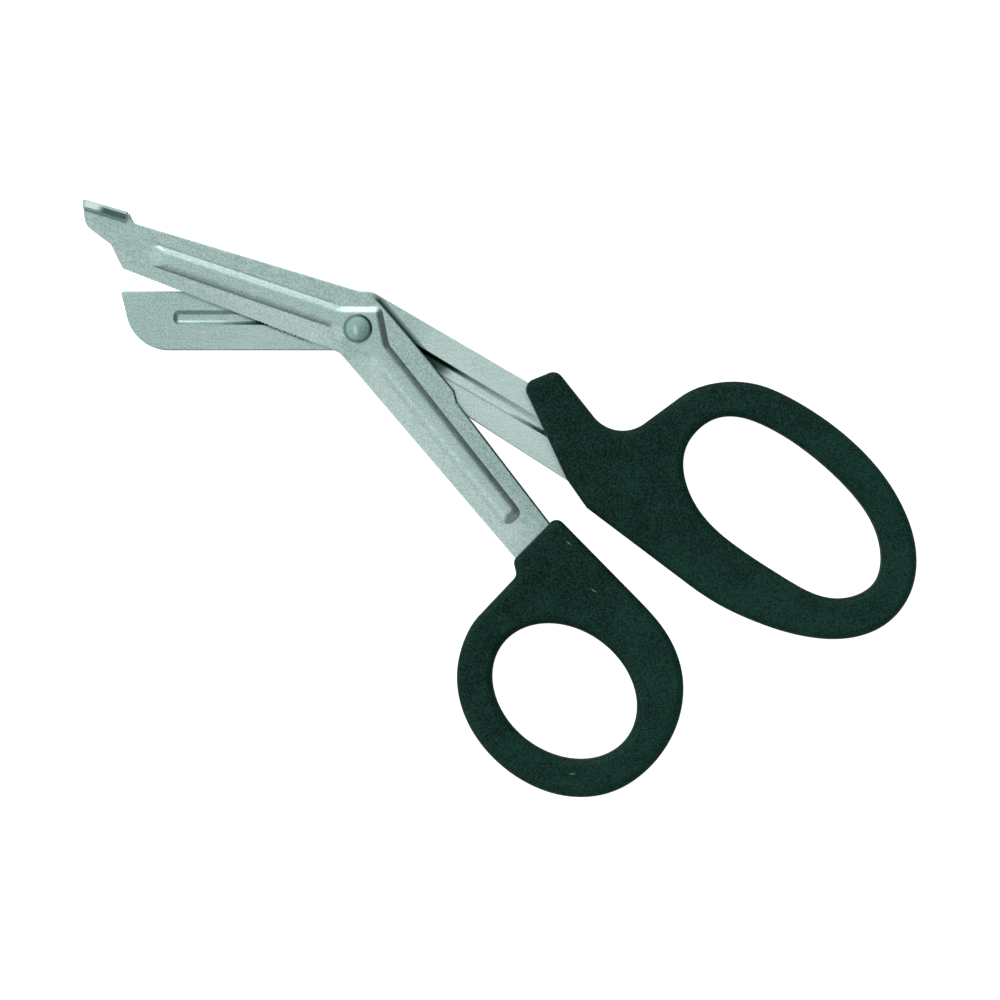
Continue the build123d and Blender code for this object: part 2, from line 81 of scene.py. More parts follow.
class Slot(Enum):
    """A material slot of the record; no piece is given it here."""

    HANDLE = "handle_plastic"


class Shade:
    """A number that varies over a surface: a shader socket with plain arithmetic."""

    def __init__(self, bench: "Bench", socket: bpy.types.NodeSocket) -> None:
        """Wraps a socket of the bench's node tree."""
        self.bench = bench
        self.socket = socket

    def __add__(self, other: Input) -> "Shade":
        """Sum."""
        return self.bench.maths("ADD", self, other)

    def __radd__(self, other: Input) -> "Shade":
        """Sum, from the right."""
        return self.bench.maths("ADD", other, self)

    def __sub__(self, other: Input) -> "Shade":
        """Difference."""
        return self.bench.maths("SUBTRACT", self, other)

    def __mul__(self, other: Input) -> "Shade":
        """Product."""
        return self.bench.maths("MULTIPLY", self, other)

    def __pow__(self, other: Input) -> "Shade":
        """Power."""
        return self.bench.maths("POWER", self, other)


class Bench:
    """The node tree of one material or world, with one way to add a node."""

    def __init__(self, tree: bpy.types.NodeTree) -> None:
        """Takes a node tree and clears it."""
        self.tree = tree
        tree.nodes.clear()

    def node(self, kind: str, settings: dict | None = None,
             inputs: dict | None = None) -> bpy.types.Node:
        """Adds a node.

        Args:
            kind: The node's type, such as ShaderNodeTexNoise.
            settings: Attributes of the node, which are set first. Stops fill a colour ramp.
            inputs: Values or links for its sockets, by name or number.

        Returns:
            The new node.
        """
        made = self.tree.nodes.new(kind)
        for name, value in (settings or {}).items():
            if name == "stops":
                self._fill_ramp(made, value)
            else:
                setattr(made, name, value)
        for key, value in (inputs or {}).items():
            socket = made.inputs[key]
            if isinstance(value, Shade):
                value = value.socket
            if isinstance(value, bpy.types.NodeSocket):
                self.tree.links.new(value, socket)
            else:
                socket.default_value = value
        return made

    def _fill_ramp(self, ramp_node: bpy.types.Node, stops: Stops) -> None:
        """Sets a ramp's stops.

        Args:
            ramp_node: The colour ramp.
            stops: Place and grey level of each.
        """
        ramp = ramp_node.color_ramp
        while len(ramp.elements) < len(stops):
            ramp.elements.new(1.0)
        for element, (place, level) in zip(ramp.elements, stops):
            element.position = place
            element.color = (level, level, level, 1.0)

    def maths(self, operation: str, first: Input, second: Input) -> Shade:
        """One Math node on two values."""
        made = self.node("ShaderNodeMath", {"operation": operation}, {0: first, 1: second})
        return Shade(self, made.outputs[0])

    def ramp(self, value: Input, stops: Stops) -> Shade:
        """A smooth curve through grey levels, read at a value.

        Args:
            value: Where the curve is read.
            stops: Place and level of each point on it.

        Returns:
            The level there.
        """
        made = self.node("ShaderNodeValToRGB", {"stops": stops}, {"Fac": value})
        made.color_ramp.interpolation = "EASE"
        return Shade(self, made.outputs["Color"])

    def rise(self, value: Input, limits: tuple[float, float]) -> Shade:
        """A smooth rise from 0 to 1 between two values."""
        return self.ramp(value, [(limits[0], 0.0), (limits[1], 1.0)])

    def blend(self, share: Input, low: Colour, high: Colour) -> bpy.types.NodeSocket:
        """A colour between two, by a share."""
        return self._mixed(share, (*low, 1.0), (*high, 1.0))

    def blend_over(self, share: Input, under: bpy.types.NodeSocket, over: Colour) -> bpy.types.NodeSocket:
        """A flat colour laid over a varying one, by a share."""
        return self._mixed(share, under, (*over, 1.0))

    def _mixed(self, share: Input, first: tuple | bpy.types.NodeSocket,
               second: tuple) -> bpy.types.NodeSocket:
        """One Mix node on two colours."""
        made = self.node("ShaderNodeMix", {"data_type": "RGBA"},
                         {MIX_SHARE: share, MIX_FIRST: first, MIX_SECOND: second})
        return made.outputs[MIX_RESULT]

    def millimetres(self, centre: Vector = Vector((0.0, 0.0, 0.0)), turn: float = 0.0,
                    stretch: Stretch = (1.0, 1.0, 1.0)) -> bpy.types.NodeSocket:
        """Coordinates on the object in millimetres.

        Args:
            centre: The point that becomes zero.
            turn: Angle about Z, in degrees, that brings the pattern's X axis onto a lever.
            stretch: How many times finer the pattern is along each axis.

        Returns:
            The vector socket for a texture.
        """
        place = self.node("ShaderNodeTexCoord").outputs["Object"]
        shift = self.node("ShaderNodeVectorMath", {"operation": "SUBTRACT"}, {0: place, 1: centre})
        turned = self.node("ShaderNodeMapping", None,
                           {"Vector": shift.outputs[0], "Rotation": (0.0, 0.0, -radians(turn))})
        scaled = self.node("ShaderNodeVectorMath", {"operation": "MULTIPLY"},
                           {0: turned.outputs[0], 1: [PER_MM * share for share in stretch]})
        return scaled.outputs[0]

    def noise(self, place: bpy.types.NodeSocket, grain: "Grain") -> Shade:
        """Soft noise over a place."""
        made = self.node("ShaderNodeTexNoise", None, {
            "Vector": place,
            "Scale": grain.per_mm,
            "Detail": grain.detail,
            "Roughness": grain.rough,
        })
        return Shade(self, made.outputs["Fac"])

    def axes(self, place: bpy.types.NodeSocket) -> tuple[Shade, Shade]:
        """The first two coordinates of a place."""
        made = self.node("ShaderNodeSeparateXYZ", None, {0: place})
        return Shade(self, made.outputs[0]), Shade(self, made.outputs[1])

    def profile(self, value: Input, *stops: tuple[float, float]) -> Shade:
        """A smooth curve through levels at given values, such as millimetres.

        Args:
            value: Where the curve is read.
            stops: Value and level of each point on it, in rising order.

        Returns:
            The level there.
        """
        first, last = stops[0][0], stops[-1][0]
        span = last - first
        places = [((at - first) / span, level) for at, level in stops]
        return self.ramp((value - first) * (1.0 / span), places)

    def cells(self, place: bpy.types.NodeSocket, per_mm: float) -> Shade:
        """Distance to the nearest of scattered points, so many to the millimetre."""
        made = self.node("ShaderNodeTexVoronoi", None, {"Vector": place, "Scale": per_mm})
        return Shade(self, made.outputs["Distance"])

    def towards(self, place: bpy.types.NodeSocket, direction: Vector) -> Shade:
        """How far a place lies along a direction."""
        made = self.node("ShaderNodeVectorMath", {"operation": "DOT_PRODUCT"}, {0: place, 1: direction})
        return Shade(self, made.outputs["Value"])

    def bump(self, height: Input, relief: "Relief") -> bpy.types.NodeSocket:
        """A normal bent by a height from 0 to 1, which stands for a real depth."""
        made = self.node("ShaderNodeBump", None,
                         {"Height": height, "Distance": relief.depth, "Strength": relief.strength})
        return made.outputs["Normal"]


def aim(turn: float, rise: float) -> Vector:
    """Unit vector at an azimuth and an elevation, in degrees."""
    across, up = radians(turn), radians(rise)
    return Vector((cos(across) * cos(up), sin(across) * cos(up), sin(up)))


@dataclass(frozen=True)
class Grain:
    """Soft noise.

    Attributes:
        per_mm: Waves to the millimetre.
        detail: How many finer layers it has.
        rough: How strong the finer layers are.
    """

    per_mm: float
    detail: float = 3.0
    rough: float = 0.55


@dataclass(frozen=True)
class Relief:
    """How far a surface stands up and sinks.

    Attributes:
        depth: Height between its hollows and its tops.
        strength: Share of that height that the light sees.
    """

    depth: float
    strength: float


# The noise that breaks a strip up into dots, and the levels between which it fades
DOT_GRAIN = Grain(2.6, 1.0)
DOT_EDGES = (0.42, 0.56)
# Middle of a value that runs from 0 to 1
MIDDLE = 0.5


@dataclass(frozen=True)
class LineMark:
    """A straight strip where the colour is painted darker or brighter: painted shade, painted shadows,
    painted highlights and broader brightenings.

    Attributes:
        slope: How far the strip falls to the right of X, in degrees.
        across: Strength by the offset from the parallel through the rivet, in millimetres.
        along: Strength by the reach from the rivet.
        dots: Share of the strip that is broken up into dots.
        lift: How much brighter the colour is painted there, darker where it is negative; strips of painted
            shade don't use it.
    """

    slope: float
    across: tuple[tuple[float, float], ...]
    along: tuple[tuple[float, float], ...]
    dots: float = 0.0
    lift: float = 0.0

    def mask(self, bench: Bench) -> Shade:
        """Strength over the surface.

        Args:
            bench: The material's node tree.

        Returns:
            The strength, from 0 to 1.
        """
        place = bench.millimetres(centre=PIVOT, turn=-self.slope)
        reach, offset = bench.axes(place)
        dotted = bench.profile(bench.noise(place, DOT_GRAIN), (DOT_EDGES[0], 1.0),
                               (DOT_EDGES[1], 1.0 - self.dots))
        return bench.profile(offset, *self.across) * bench.profile(reach, *self.along) * dotted


@dataclass(frozen=True)
class RingMark:
    """Painted shade round the rivet, thicker on one side.

    Attributes:
        around: Strength by the distance from the rivet's axis, in millimetres.
        turn: Azimuth of the thicker side, in degrees.
        thin_level: Strength on the other side.
        thin_to: How far towards the thicker side the thin level reaches, in millimetres.
        thick_from: Where the full strength starts.
        far_side: Where the strength is first read, on the other side.
    """

    around: tuple[tuple[float, float], ...]
    turn: float = 30.0
    thin_level: float = 0.6
    thin_to: float = 1.0
    thick_from: float = 2.6
    far_side: float = -1.5

    def mask(self, bench: Bench) -> Shade:
        """Strength over the surface.

        Args:
            bench: The material's node tree.

        Returns:
            The strength, from 0 to 1.
        """
        place = bench.millimetres(centre=PIVOT)
        x, y = bench.axes(place)
        distance = (x ** 2.0 + y ** 2.0) ** 0.5
        side = bench.towards(place, aim(self.turn, 0.0))
        thick = bench.profile(side, (self.far_side, self.thin_level), (self.thin_to, self.thin_level),
                              (self.thick_from, 1.0))
        return bench.profile(distance, *self.around) * thick


@dataclass(frozen=True)
class ScuffAndGlint:
    """A short pale streak: a real scuff on the plastic, a painted highlight on the rivet's head.

    Attributes:
        across: Its place to the right of the rivet, in millimetres.
        up: Its place above the rivet.
        turn: Its direction, in degrees from +X.
        half_length: Half its length.
        half_width: Half its width.
    """

    across: float
    up: float
    turn: float
    half_length: float = 0.9
    half_width: float = 0.22

    def mask(self, bench: Bench) -> Shade:
        """Strength over the surface.

        Args:
            bench: The material's node tree.

        Returns:
            The strength, from 0 to 1.
        """
        centre = PIVOT + Vector((self.across, self.up, 0.0)) * MM
        reach, offset = bench.axes(bench.millimetres(centre=centre, turn=self.turn))
        along = bench.profile(reach, (-self.half_length, 0.0), (0.0, 1.0), (self.half_length, 0.0))
        return along * bench.profile(offset, (-self.half_width, 0.0), (0.0, 1.0), (self.half_width, 0.0))


@dataclass(frozen=True)
class Finish:
    """A finish, which one material gives.

    Attributes:
        name: Material name.
    """

    name: str

    def make(self) -> bpy.types.Material:
        """Builds the material.

        Returns:
            The material, which any piece can take.
        """
        material = bpy.data.materials.new(self.name)
        material.use_nodes = True
        bench = Bench(material.node_tree)
        shader = bench.node("ShaderNodeBsdfPrincipled", None, self.surface(bench))
        bench.node("ShaderNodeOutputMaterial", None, {"Surface": shader.outputs[0]})
        return material

    def surface(self, bench: Bench) -> dict:
        """The shader's inputs, by name."""
        raise NotImplementedError


@dataclass(frozen=True)
class SatinSteel(Finish):
    """Stamped stainless sheet, tumbled to a fine satin.

    Attributes:
        low: Colour in the grain's hollows.
        high: Colour on the grain's tops.
        roughness: Middle roughness.
        grain_turn: Slope of the faint rolling grain, in degrees.
        painted_shade: Its strips and rings of painted shade and painted shadow.
        tone_strips: Strips whose colour is painted brighter or darker.
        peening: The fine grain that tumbling leaves.
        rolling: The grain along the sheet.
        rolling_stretch: How many times finer the rolling grain is along the sheet than across it.
        clouds: The broad unevenness.
        grain_shares: Shares of the peening, the rolling and the clouds in the tone.
        grain_stops: Where the grain's hollows and tops are cut off.
        tone_span: Share of the way between the two colours that the grain takes.
        tone_base: Where that share starts.
        peened_swing: How much the peening changes the roughness.
        cloud_swing: How much the clouds change it.
        relief_shares: Shares of the peening and the rolling in the relief.
        relief: Depth of the grain.
    """

    low: Colour
    high: Colour
    roughness: float = 0.36
    grain_turn: float = 0.0
    painted_shade: tuple[LineMark | RingMark, ...] = ()
    tone_strips: tuple[LineMark, ...] = ()
    peening: Grain = Grain(2.9, 4.0, 0.65)
    rolling: Grain = Grain(3.2, 2.0)
    rolling_stretch: float = 0.12
    clouds: Grain = Grain(0.05, 2.0)
    grain_shares: tuple[float, float, float] = (0.7, 0.15, 0.15)
    grain_stops: tuple[float, float] = (0.38, 0.62)
    tone_span: float = 0.5
    tone_base: float = 0.25
    peened_swing: float = 0.16
    cloud_swing: float = 0.10
    relief_shares: tuple[float, float] = (0.7, 0.3)
    relief: Relief = Relief(0.05 * MM, 0.5)

    def surface(self, bench: Bench) -> dict:
        """The finish as inputs of the shader.

        Args:
            bench: The material's node tree.

        Returns:
            Values or sockets, by the input's name.
        """
        round_place = bench.millimetres()
        rolled_place = bench.millimetres(turn=self.grain_turn, stretch=(self.rolling_stretch, 1.0, 1.0))
        peened = bench.noise(round_place, self.peening)
        rolled = bench.noise(rolled_place, self.rolling)
        cloud = bench.noise(round_place, self.clouds)
        peened_share, rolled_share, cloud_share = self.grain_shares
        mixed = peened * peened_share + rolled * rolled_share + cloud * cloud_share
        tone = bench.rise(mixed, self.grain_stops) * self.tone_span + self.tone_base
        # Strips painted brighter or darker: painted highlights and painted shade on the thumb lever, a
        # brighter finger shank
        for tone_strip in self.tone_strips:
            tone = tone + tone_strip.mask(bench) * tone_strip.lift
        rough = self.roughness + (peened - MIDDLE) * self.peened_swing + (cloud - MIDDLE) * self.cloud_swing
        colour = bench.blend(tone, self.low, self.high)
        # Painted shade and painted shadows: dark strips and rings laid over the colour where shade falls
        for line in self.painted_shade:
            colour = bench.blend_over(line.mask(bench), colour, PAINTED_SHADE)
        height = peened * self.relief_shares[0] + rolled * self.relief_shares[1]
        return {
            "Base Color": colour,
            "Metallic": 1.0,
            "Roughness": rough,
            "Normal": bench.bump(height, self.relief),
        }


@dataclass(frozen=True)
class PeenedSteel(Finish):
    """The rivet's steel, with the faint rings of the tool that closed it.

    Attributes:
        low: Colour in the rings' hollows.
        high: Colour on their tops.
        rim: The painted shade round its head, thicker to one side.
        glint: A painted highlight streak on its head.
        roughness: Middle roughness.
        rings: Scale, distortion and detail of the tool's rings.
        pitting: The fine grain over them.
        tone_shares: Shares of the rings and the pitting in the tone.
        tone_stops: Where the hollows and the tops are cut off.
        glint_level: Strength of the painted highlight.
        rough_swing: How much the pitting changes the roughness.
        relief_shares: Shares of the rings and the pitting in the relief.
        relief: Depth of both.
    """

    low: Colour
    high: Colour
    rim: RingMark
    glint: ScuffAndGlint
    roughness: float = 0.42
    rings: tuple[float, float, float] = (1.1, 1.2, 2.0)
    pitting: Grain = Grain(3.0)
    tone_shares: tuple[float, float] = (0.4, 0.6)
    tone_stops: tuple[float, float] = (0.25, 0.75)
    glint_level: float = 0.8
    rough_swing: float = 0.2
    relief_shares: tuple[float, float] = (0.5, 0.5)
    relief: Relief = Relief(0.04 * MM, 0.4)

    def surface(self, bench: Bench) -> dict:
        """The finish as inputs of the shader.

        Args:
            bench: The material's node tree.

        Returns:
            Values or sockets, by the input's name.
        """
        place = bench.millimetres(centre=PIVOT)
        scale, distortion, detail = self.rings
        rings = bench.node("ShaderNodeTexWave", {"wave_type": "RINGS", "rings_direction": "Z"},
                           {"Vector": place, "Scale": scale, "Distortion": distortion, "Detail": detail})
        ring = Shade(bench, rings.outputs["Fac"])
        grain = bench.noise(place, self.pitting)
        tone = bench.rise(ring * self.tone_shares[0] + grain * self.tone_shares[1], self.tone_stops)
        colour = bench.blend(tone, self.low, self.high)
        # Painted highlight: a pale streak on the head, lower left of its middle
        colour = bench.blend_over(self.glint.mask(bench) * self.glint_level, colour, STEEL_HIGH)
        height = ring * self.relief_shares[0] + grain * self.relief_shares[1]
        return {
            # painted shade round the head's rim
            "Base Color": bench.blend_over(self.rim.mask(bench), colour, PAINTED_SHADE),
            "Metallic": 1.0,
            "Roughness": self.roughness + (grain - MIDDLE) * self.rough_swing,
            "Normal": bench.bump(height, self.relief),
        }


@dataclass(frozen=True)
class GrainedPlastic(Finish):
    """Moulded plastic with a fine spark-eroded grain, a few pale flecks and fine scuffs.

    Attributes:
        deep: Colour in the grain's hollows.
        lit: Colour on the grain's tops.
        fleck: Colour of the scattered flecks and scuffs.
        scuffs: Its scratches.
        bow_lift: Where it is a little brighter, towards the outer bows.
        roughness: Middle roughness.
        erosion: The fine grain.
        patches: The broad unevenness.
        tone_shares: Shares of the grain and the patches in the tone.
        tone_stops: Where the hollows and the tops are cut off.
        flecks_per_mm: Places for flecks to the millimetre.
        fleck_stops: Strength of a fleck by the distance from its middle, in units of that spacing.
        fleck_grain: The noise that leaves flecks in a few places only.
        fleck_limits: Between which levels of that noise they come in.
        fleck_level: Strength of the flecks.
        rough_swing: How much the grain changes the roughness.
        reflection: Share of the mirror-like reflection.
        relief: Depth of the grain.
    """

    deep: Colour
    lit: Colour
    fleck: Colour
    scuffs: tuple[ScuffAndGlint, ...]
    bow_lift: LineMark
    roughness: float = 0.46
    erosion: Grain = Grain(2.7, 4.0, 0.7)
    patches: Grain = Grain(0.18)
    tone_shares: tuple[float, float] = (0.85, 0.15)
    tone_stops: tuple[float, float] = (0.38, 0.64)
    flecks_per_mm: float = 0.85
    fleck_stops: tuple[tuple[float, float], ...] = ((0.045, 1.0), (0.10, 0.0))
    fleck_grain: Grain = Grain(0.5, 1.0)
    fleck_limits: tuple[float, float] = (0.52, 0.60)
    fleck_level: float = 0.5
    rough_swing: float = 0.25
    reflection: float = 0.10
    relief: Relief = Relief(0.06 * MM, 0.45)

    def surface(self, bench: Bench) -> dict:
        """The finish as inputs of the shader.

        Args:
            bench: The material's node tree.

        Returns:
            Values or sockets, by the input's name.
        """
        place = bench.millimetres()
        grain = bench.noise(place, self.erosion)
        patch = bench.noise(place, self.patches)
        tone = bench.rise(grain * self.tone_shares[0] + patch * self.tone_shares[1], self.tone_stops)
        colour = bench.blend(tone + self.bow_lift.mask(bench) * self.bow_lift.lift, self.deep, self.lit)
        flecks = bench.ramp(bench.cells(place, self.flecks_per_mm), self.fleck_stops)
        rare = bench.rise(bench.noise(place, self.fleck_grain), self.fleck_limits)
        colour = bench.blend_over(flecks * rare * self.fleck_level, colour, self.fleck)
        for scuff in self.scuffs:
            colour = bench.blend_over(scuff.mask(bench), colour, self.fleck)
        return {
            "Base Color": colour,
            "Roughness": self.roughness + (grain - MIDDLE) * self.rough_swing,
            "Specular IOR Level": self.reflection,
            "Normal": bench.bump(grain, self.relief),
        }


# The marks are placed from the rivet: front ones on the thumb lever, back ones on the finger lever
# Painted shadow round the rivet head on the thumb lever's boss, heavier to the upper right
RIVET_PAINTED_SHADOW = RingMark(around=((2.3, 0.0), (2.65, 1.0), (2.9, 1.0), (3.2, 0.0)))
# Painted shade round the rivet head, thicker to the upper right
HEAD_PAINTED_SHADE = RingMark(around=((2.25, 0.0), (2.6, 0.8), (2.8, 1.0)))
# Painted shade and painted shadows on the thumb lever
FRONT_PAINTED_SHADE = (
    # painted shadow round the rivet head
    RIVET_PAINTED_SHADOW,
    # faint painted shade along the left foot of the shank's rib
    LineMark(50.76, across=((-2.6, 0.0), (-2.2, 0.16), (-1.7, 0.16), (-1.2, 0.0)),
             along=((8.0, 0.0), (12.0, 1.0), (50.0, 1.0), (52.0, 0.0))),
    # painted shade along the foot of the blade bead's lower wall
    LineMark(18.88, across=((-1.65, 0.0), (-1.45, 0.25), (-1.2, 0.25), (-0.95, 0.0)),
             along=((-46.5, 0.0), (-44.0, 1.0), (-9.0, 1.0), (-5.0, 0.0))),
    # painted shade just above the blade bead's upper foot
    LineMark(18.46, across=((3.35, 0.0), (3.5, 0.2), (3.7, 0.2), (3.85, 0.0)),
             along=((-47.0, 0.0), (-44.0, 1.0), (-8.0, 1.0), (-5.0, 0.0))),
    # painted shade on the foot flange, standing in for its shaded inner face
    LineMark(16.8, across=((7.5, 0.0), (7.8, 0.85), (8.7, 0.85), (9.0, 0.0)),
             along=((-59.5, 0.0), (-57.5, 1.0), (-53.4, 1.0), (-52.6, 0.0))),
    # painted shade on the shank's right edge beside the rivet
    LineMark(49.5, across=((6.4, 0.0), (6.75, 0.85), (7.2, 0.85)),
             along=((8.0, 0.0), (14.0, 0.4), (19.0, 1.0), (22.9, 1.0), (23.5, 0.0))),
    # painted shade at the kink in the shank's right edge
    LineMark(76.07, across=((15.9, 0.0), (16.25, 0.85), (16.8, 0.85)),
             along=((16.8, 0.0), (17.4, 1.0), (19.8, 1.0), (20.5, 0.0))),
    # painted shade along the shank's right edge towards the handle
    LineMark(52.44, across=((6.55, 0.0), (6.85, 0.9), (7.4, 0.9)),
             along=((24.0, 0.0), (26.0, 0.8), (36.0, 1.0), (60.0, 1.0))),
)
# Painted light on the thumb lever: sides lighter or darker by how the light falls, and painted highlights
FRONT_PAINTED_LIGHT = (
    # left half of the shank painted brighter, as the light falls from the left
    LineMark(49.5, across=((-6.5, 1.0), (-3.0, 0.9), (-1.0, 0.35), (1.0, 0.0)),
             along=((2.0, 0.0), (10.0, 1.0), (52.0, 1.0), (60.0, 0.0)), lift=0.27),
    # right half of the shank painted darker: painted shade
    LineMark(49.5, across=((1.0, 0.0), (3.0, 0.7), (7.0, 1.0)),
             along=((8.0, 0.1), (22.0, 0.4), (50.0, 1.0)), lift=-0.16),
    # lower half of the blade painted brighter, as the light falls
    LineMark(16.8, across=((-6.0, 1.0), (-2.0, 0.8), (1.0, 0.0)),
             along=((-50.0, 0.3), (-10.0, 1.0), (0.0, 0.0)), lift=0.17),
    # painted highlight along the blade bead's upper wall
    LineMark(18.46, across=((2.75, 0.0), (3.0, 1.0), (3.25, 1.0), (3.4, 0.0)),
             along=((-47.0, 0.0), (-44.0, 1.0), (-8.0, 1.0), (-5.0, 0.0)), lift=0.3),
    # painted highlight on the left end of the foot flange
    LineMark(16.8, across=((7.6, 0.0), (8.2, 1.0), (9.4, 1.0)),
             along=((-63.5, 1.0), (-59.5, 1.0), (-57.5, 0.0)), lift=0.5),
    # painted highlight on the boss above the rivet
    LineMark(0.0, across=((3.3, 0.0), (3.8, 1.0), (4.4, 1.0), (4.8, 0.0)),
             along=((-5.0, 0.0), (-2.5, 1.0), (4.2, 1.0), (5.0, 0.0)), lift=0.45),
)
# Painted shade and painted shadows on the finger lever
BACK_PAINTED_SHADE = (
    # painted shade along the upper wall of the shank's hollow, darkest near the rivet
    LineMark(31.46, across=((2.6, 0.0), (3.0, 1.0), (3.5, 1.0), (3.9, 0.0)),
             along=((12.0, 1.0), (20.0, 1.0), (27.0, 0.5), (36.0, 0.3), (50.0, 0.2))),
    # painted shadow in the shank's hollow beside the thumb lever's edge
    LineMark(31.46, across=((-0.5, 0.0), (1.0, 0.7), (3.3, 1.0), (3.8, 0.0)),
             along=((12.0, 1.0), (19.0, 1.0), (22.5, 0.0))),
    # painted shadow of the thumb lever's right edge
    LineMark(49.5, across=((6.6, 0.0), (6.9, 1.0), (7.35, 0.93), (7.8, 0.6), (8.35, 0.0)),
             along=((-4.0, 0.0), (-1.5, 1.0), (16.0, 1.0), (19.5, 0.0))),
    # dotted painted shadow of the thumb blade's serrated edge
    LineMark(21.2, across=((-6.6, 0.0), (-6.3, 0.85), (-6.0, 0.85), (-5.7, 0.0)),
             along=((-44.0, 0.0), (-38.0, 0.45), (-26.0, 0.45), (-21.0, 1.0), (-11.0, 1.0), (-6.0, 0.0)),
             dots=0.6),
)
# The finger shank is painted a little brighter
BACK_SHANK_LIFT = (
    LineMark(31.46, across=((-6.0, 0.8), (2.0, 1.0), (9.0, 0.85)),
             along=((8.0, 0.0), (16.0, 1.0), (56.0, 1.0)), lift=0.30),
)
STEEL_LOW = (0.195, 0.36, 0.325)
STEEL_HIGH = (0.755, 0.935, 0.895)
FRONT_STEEL = SatinSteel("satin_steel_front", STEEL_LOW, STEEL_HIGH, grain_turn=-16.8, painted_shade=FRONT_PAINTED_SHADE,
                         tone_strips=FRONT_PAINTED_LIGHT)
BACK_STEEL = SatinSteel("satin_steel_back", STEEL_LOW, STEEL_HIGH, painted_shade=BACK_PAINTED_SHADE, tone_strips=BACK_SHANK_LIFT)
# The rivet: painted shade round its head and a painted highlight streak lower left of its middle
RIVET_STEEL = PeenedSteel("peened_rivet_steel", (0.20, 0.36, 0.315), (0.46, 0.70, 0.63), HEAD_PAINTED_SHADE,
                          ScuffAndGlint(-0.5, -0.3, turn=100.0, half_length=1.7, half_width=0.7))
# The plastic is a little brighter towards the outer bows
BRIGHTER_BOWS = LineMark(45.0, across=((-200.0, 1.0), (200.0, 1.0)),
                    along=((60.0, 0.0), (105.0, 1.0)), lift=0.16)
SCUFFS = (
    ScuffAndGlint(44.0, -44.7, turn=-40.0),
    ScuffAndGlint(49.2, -54.6, turn=-32.0),
    ScuffAndGlint(44.7, -92.8, turn=4.0),
)
HANDLE_GREEN = GrainedPlastic("grained_dark_green", (0.0002, 0.0070, 0.0045), (0.0125, 0.0640, 0.0485),
                              (0.20, 0.30, 0.26), SCUFFS, BRIGHTER_BOWS)


class Piece:
    """Helpers for the meshes that are made or dressed here."""

    @staticmethod
    def dress(piece: bpy.types.Object, material: bpy.types.Material) -> None:
        """Gives a piece one material all over."""
        piece.data.materials.clear()
        piece.data.materials.append(material)

    @staticmethod
    def only(piece: bpy.types.Object) -> None:
        """Selects one piece alone and makes it active."""
        bpy.ops.object.select_all(action="DESELECT")
        piece.select_set(True)
        bpy.context.view_layer.objects.active = piece

    @staticmethod
    def copy_of(node: bpy.types.Object, name: str) -> bpy.types.Object:
        """A free copy of a CAD node, with its loose triangles merged.

        Args:
            node: The CAD node.
            name: Name of the copy.

        Returns:
            The copy, selected, with one closed mesh.
        """
        copy = bpy.data.objects.new(name, node.data.copy())
        bpy.context.scene.collection.objects.link(copy)
        Piece.only(copy)
        bpy.ops.object.mode_set(mode="EDIT")
        bpy.ops.mesh.select_all(action="SELECT")
        bpy.ops.mesh.remove_doubles(threshold=MERGE_GAP)
        bpy.ops.object.mode_set(mode="OBJECT")
        return copy


@dataclass
class MouldedHandle:
    """A bow moulded over its tang, with the line where the mould's two halves met.

    Attributes:
        node: Name of the CAD node.
        body: The lever that it rides on.
        line_radius: Half the width of the parting line.
        line_rounding: How finely its section is rounded.
        loop_gap: Points of the cut that lie closer than this are one.
    """

    node: str
    body: Body
    line_radius: float = 0.055 * MM
    line_rounding: int = 2
    loop_gap: float = 0.02 * MM

    def build(self, finish: bpy.types.Material) -> list[bpy.types.Object]:
        """Dresses the moulding and adds its parting line.

        Args:
            finish: The plastic.

        Returns:
            The pieces that show.
        """
        moulding = frame["nodes"][self.node]
        Piece.dress(moulding, finish)
        return [moulding, self._parting_line(moulding, finish)]

    def _parting_line(self, moulding: bpy.types.Object, finish: bpy.types.Material) -> bpy.types.Object:
        """Cuts a copy at half height and turns the cut's loops into a thin raised line.

        Args:
            moulding: The handle.
            finish: The plastic.

        Returns:
            The line, which rides on the handle's lever.
        """
        low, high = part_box(self.node)
        line = Piece.copy_of(moulding, self.node + "_parting_line")
        bpy.ops.object.mode_set(mode="EDIT")
        bpy.ops.mesh.select_all(action="SELECT")
        bpy.ops.mesh.bisect(plane_co=(0.0, 0.0, (low.z + high.z) / 2), plane_no=(0.0, 0.0, 1.0),
                            clear_inner=True, clear_outer=True)
        bpy.ops.mesh.remove_doubles(threshold=self.loop_gap)
        bpy.ops.object.mode_set(mode="OBJECT")
        bpy.ops.object.convert(target="CURVE")
        line = bpy.context.active_object
        line.data.bevel_depth = self.line_radius
        line.data.bevel_resolution = self.line_rounding
        bpy.ops.object.convert(target="MESH")
        line = bpy.context.active_object
        Piece.dress(line, finish)
        bpy.ops.object.shade_smooth()
        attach(line, self.body.value)
        return line


@dataclass
class StampedLever:
    """A stamped steel lever.

    Attributes:
        node: Name of the CAD node.
    """

    node: str

    def build(self, finish: bpy.types.Material) -> list[bpy.types.Object]:
        """Dresses the lever.

        Args:
            finish: The steel.

        Returns:
            The lever alone.
        """
        lever = frame["nodes"][self.node]
        Piece.dress(lever, finish)
        return [lever]


@dataclass
class Rivet:
    """The rivet that the levers turn on.

    Attributes:
        node: Name of the CAD node.
    """

    node: str = "pivot_rivet"

    def build(self, finish: bpy.types.Material) -> list[bpy.types.Object]:
        """Dresses the rivet.

        Args:
            finish: The steel.

        Returns:
            The rivet alone.
        """
        rivet = frame["nodes"][self.node]
        Piece.dress(rivet, finish)
        return [rivet]


